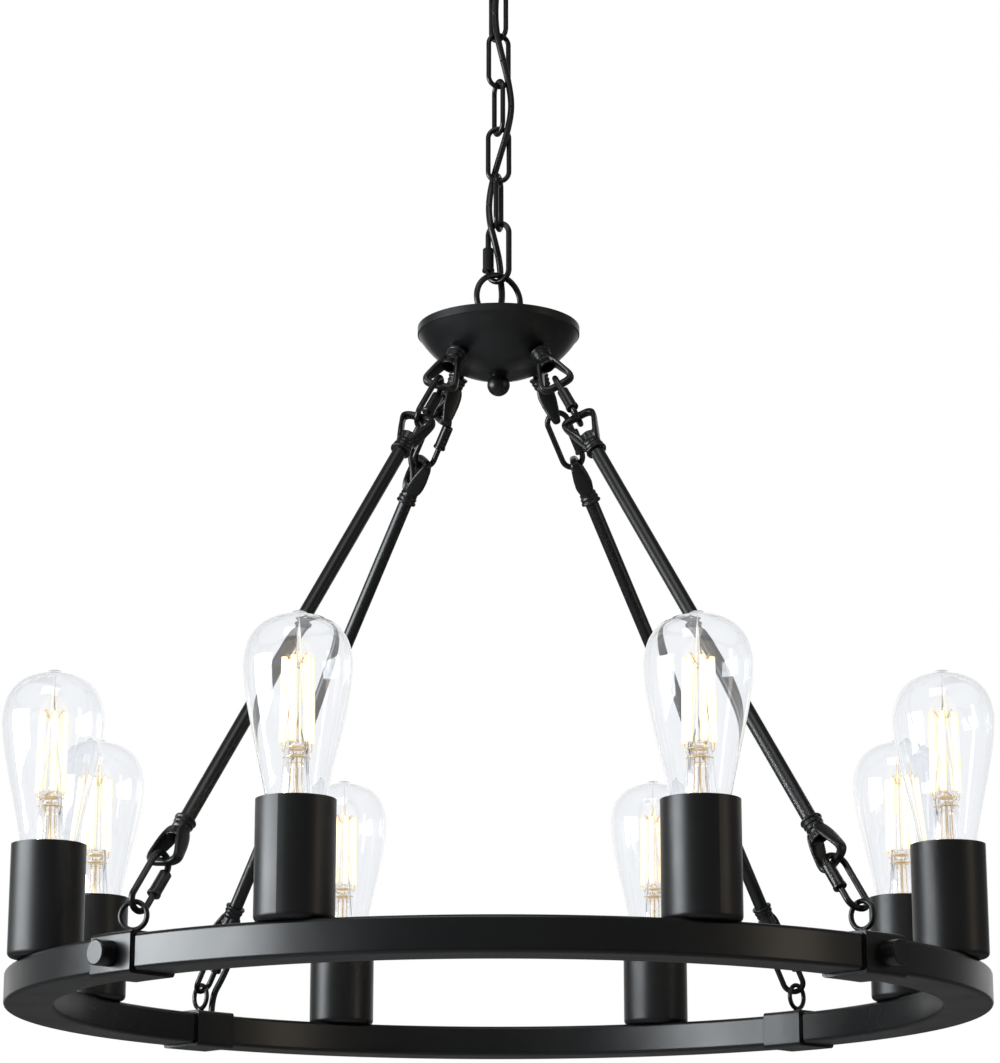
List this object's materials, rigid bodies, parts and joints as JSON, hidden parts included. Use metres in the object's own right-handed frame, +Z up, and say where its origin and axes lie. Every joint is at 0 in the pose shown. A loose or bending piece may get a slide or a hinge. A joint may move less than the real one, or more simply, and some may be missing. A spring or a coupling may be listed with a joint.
{
  "type": "wagon wheel chandelier",
  "caption": "Wagon wheel chandelier: a steel ring with upright bulb cups hung by slanted rods and quick links from a saucer hub, on a short chain below a ceiling canopy.",
  "frame": {"origin": "on the ceiling, at the middle between the mounting strap's two slots", "axes": "+Z up, -Y towards the front of the chandelier as pictured, +X to its right"},
  "size_m": [0.64, 0.6399, 0.7899],
  "materials": {
    "black_coat": "satin black powder coat",
    "plated_steel": "zinc plated",
    "lampholder_plastic": "matte moulded",
    "screw_shell": "drawn brass",
    "connector_plastic": "moulded",
    "cord_jacket": "smooth jacket",
    "bulb_glass": "clear blown glass"
  },
  "bodies": {
    "canopy": {"canopy_dish": "black_coat", "mounting_strap": "plated_steel", "canopy_nipple": "plated_steel", "canopy_nuts": "plated_steel", "canopy_loop": "black_coat", "chain_cord": "cord_jacket"},
    "link_1": {"chain_link_1": "black_coat"},
    "link_2": {"chain_link_2": "black_coat"},
    "link_3": {"chain_link_3": "black_coat"},
    "link_4": {"chain_link_4": "black_coat"},
    "link_5": {"chain_link_5": "black_coat"},
    "main_link": {"main_link": "black_coat"},
    "main_gate": {"main_gate": "black_coat"},
    "hub": {"hub_loop": "black_coat", "hub_dish": "black_coat", "hub_cover": "black_coat", "hub_nipple": "plated_steel", "hub_nuts": "plated_steel", "finial": "black_coat", "hub_hooks": "black_coat", "wire_connectors": "connector_plastic"},
    "ring": {"ring_arcs": "black_coat", "ring_collars": "black_coat", "ring_splices": "black_coat", "collar_bolts": "black_coat", "ring_eyes": "black_coat", "socket_cups": "black_coat", "lampholders": "lampholder_plastic", "lampholder_shells": "screw_shell", "holder_hardware": "plated_steel"},
    "leg_front_left": {"rod_front_left": "black_coat", "rod_hooks_front_left": "black_coat", "quick_links_front_left": "black_coat"},
    "upper_gate_front_left": {"upper_gate_front_left": "black_coat"},
    "lower_gate_front_left": {"lower_gate_front_left": "black_coat"},
    "leg_front_right": {"rod_front_right": "black_coat", "rod_hooks_front_right": "black_coat", "quick_links_front_right": "black_coat"},
    "upper_gate_front_right": {"upper_gate_front_right": "black_coat"},
    "lower_gate_front_right": {"lower_gate_front_right": "black_coat"},
    "leg_back_right": {"rod_back_right": "black_coat", "rod_hooks_back_right": "black_coat", "quick_links_back_right": "black_coat"},
    "upper_gate_back_right": {"upper_gate_back_right": "black_coat"},
    "lower_gate_back_right": {"lower_gate_back_right": "black_coat"},
    "leg_back_left": {"rod_back_left": "black_coat", "rod_hooks_back_left": "black_coat", "quick_links_back_left": "black_coat", "leg_cord_upper": "cord_jacket", "leg_cord_lower": "cord_jacket"},
    "upper_gate_back_left": {"upper_gate_back_left": "black_coat"},
    "lower_gate_back_left": {"lower_gate_back_left": "black_coat"},
    "bulb_1": {"bulb_1": "bulb_glass"},
    "bulb_2": {"bulb_2": "bulb_glass"},
    "bulb_3": {"bulb_3": "bulb_glass"},
    "bulb_4": {"bulb_4": "bulb_glass"},
    "bulb_5": {"bulb_5": "bulb_glass"},
    "bulb_6": {"bulb_6": "bulb_glass"},
    "bulb_7": {"bulb_7": "bulb_glass"},
    "bulb_8": {"bulb_8": "bulb_glass"}
  },
  "joints": [
    {"name": "link_1_swing", "type": "hinge", "parent": "canopy", "child": "link_1", "pos_m": [0, 0, -0.06855], "axis": [0.8192, 0.5736, 0], "range_deg": [-15, 15], "deforming": ["chain_cord"]},
    {"name": "link_2_swing", "type": "hinge", "parent": "link_1", "child": "link_2", "pos_m": [0, 0, -0.10365], "axis": [0.7071, -0.7071, 0], "range_deg": [-15, 15]},
    {"name": "link_3_swing", "type": "hinge", "parent": "link_2", "child": "link_3", "pos_m": [0, 0, -0.13905], "axis": [0.9511, 0.309, 0], "range_deg": [-15, 15]},
    {"name": "link_4_swing", "type": "hinge", "parent": "link_3", "child": "link_4", "pos_m": [0, 0, -0.17445], "axis": [0.4067, -0.9135, 0], "range_deg": [-15, 15]},
    {"name": "link_5_swing", "type": "hinge", "parent": "link_4", "child": "link_5", "pos_m": [0, 0, -0.20985], "axis": [1, 0, 0], "range_deg": [-15, 15]},
    {"name": "main_link_swing", "type": "hinge", "parent": "link_5", "child": "main_link", "pos_m": [0, 0, -0.24525], "axis": [0.2419, 0.9703, 0], "range_deg": [-15, 15]},
    {"name": "hub_swing", "type": "hinge", "parent": "main_link", "child": "hub", "pos_m": [0, 0, -0.2837], "axis": [0.8746, -0.4848, 0], "range_deg": [-15, 15]},
    {"name": "ring_twist", "type": "hinge", "parent": "hub", "child": "ring", "pos_m": [0, 0, -0.7453], "axis": [0, 0, 1], "range_deg": [-3, 3], "deforming": ["leg_cord_lower"]},
    {"name": "leg_front_left_swing", "type": "hinge", "parent": "hub", "child": "leg_front_left", "pos_m": [-0.04048, -0.04048, -0.37146], "axis": [-0.592, -0.592, 0.547], "range_deg": [-2.04, 2.04]},
    {"name": "leg_front_right_swing", "type": "hinge", "parent": "hub", "child": "leg_front_right", "pos_m": [0.04048, -0.04048, -0.37146], "axis": [0.592, -0.592, 0.547], "range_deg": [-2.04, 2.04]},
    {"name": "leg_back_right_swing", "type": "hinge", "parent": "hub", "child": "leg_back_right", "pos_m": [0.04048, 0.04048, -0.37146], "axis": [0.592, 0.592, 0.547], "range_deg": [-2.04, 2.04]},
    {"name": "leg_back_left_swing", "type": "hinge", "parent": "hub", "child": "leg_back_left", "pos_m": [-0.04048, 0.04048, -0.37146], "axis": [-0.592, 0.592, 0.547], "range_deg": [-2.04, 2.04], "deforming": ["leg_cord_upper"]},
    {"name": "main_gate_slide", "type": "slide", "parent": "main_link", "child": "main_gate", "axis": [0, 0, 1], "range_m": [0, 0.0075]},
    {"name": "upper_gate_front_left_slide", "type": "slide", "parent": "leg_front_left", "child": "upper_gate_front_left", "axis": [-0.3868, -0.3868, -0.8371], "range_m": [0, 0.0075]},
    {"name": "lower_gate_front_left_slide", "type": "slide", "parent": "leg_front_left", "child": "lower_gate_front_left", "axis": [-0.3868, -0.3868, -0.8371], "range_m": [0, 0.0075]},
    {"name": "upper_gate_front_right_slide", "type": "slide", "parent": "leg_front_right", "child": "upper_gate_front_right", "axis": [-0.3868, 0.3868, 0.8371], "range_m": [0, 0.0075]},
    {"name": "lower_gate_front_right_slide", "type": "slide", "parent": "leg_front_right", "child": "lower_gate_front_right", "axis": [0.3868, -0.3868, -0.8371], "range_m": [0, 0.0075]},
    {"name": "upper_gate_back_right_slide", "type": "slide", "parent": "leg_back_right", "child": "upper_gate_back_right", "axis": [-0.3868, -0.3868, 0.8371], "range_m": [0, 0.0075]},
    {"name": "lower_gate_back_right_slide", "type": "slide", "parent": "leg_back_right", "child": "lower_gate_back_right", "axis": [0.3868, 0.3868, -0.8371], "range_m": [0, 0.0075]},
    {"name": "upper_gate_back_left_slide", "type": "slide", "parent": "leg_back_left", "child": "upper_gate_back_left", "axis": [-0.3868, 0.3868, -0.8371], "range_m": [0, 0.0075]},
    {"name": "lower_gate_back_left_slide", "type": "slide", "parent": "leg_back_left", "child": "lower_gate_back_left", "axis": [-0.3868, 0.3868, -0.8371], "range_m": [0, 0.0075]},
    {"name": "bulb_1_lift", "type": "slide", "parent": "ring", "child": "bulb_1", "axis": [0, 0, 1], "range_m": [0, 0.06]},
    {"name": "bulb_2_lift", "type": "slide", "parent": "ring", "child": "bulb_2", "axis": [0, 0, 1], "range_m": [0, 0.06]},
    {"name": "bulb_3_lift", "type": "slide", "parent": "ring", "child": "bulb_3", "axis": [0, 0, 1], "range_m": [0, 0.06]},
    {"name": "bulb_4_lift", "type": "slide", "parent": "ring", "child": "bulb_4", "axis": [0, 0, 1], "range_m": [0, 0.06]},
    {"name": "bulb_5_lift", "type": "slide", "parent": "ring", "child": "bulb_5", "axis": [0, 0, 1], "range_m": [0, 0.06]},
    {"name": "bulb_6_lift", "type": "slide", "parent": "ring", "child": "bulb_6", "axis": [0, 0, 1], "range_m": [0, 0.06]},
    {"name": "bulb_7_lift", "type": "slide", "parent": "ring", "child": "bulb_7", "axis": [0, 0, 1], "range_m": [0, 0.06]},
    {"name": "bulb_8_lift", "type": "slide", "parent": "ring", "child": "bulb_8", "axis": [0, 0, 1], "range_m": [0, 0.06]}
  ],
  "couplings": [
    {"joint": "leg_front_left_swing", "follows": "ring_twist", "ratio": 0.6752},
    {"joint": "leg_front_right_swing", "follows": "ring_twist", "ratio": 0.6752},
    {"joint": "leg_back_right_swing", "follows": "ring_twist", "ratio": 0.6752},
    {"joint": "leg_back_left_swing", "follows": "ring_twist", "ratio": 0.6752}
  ]
}
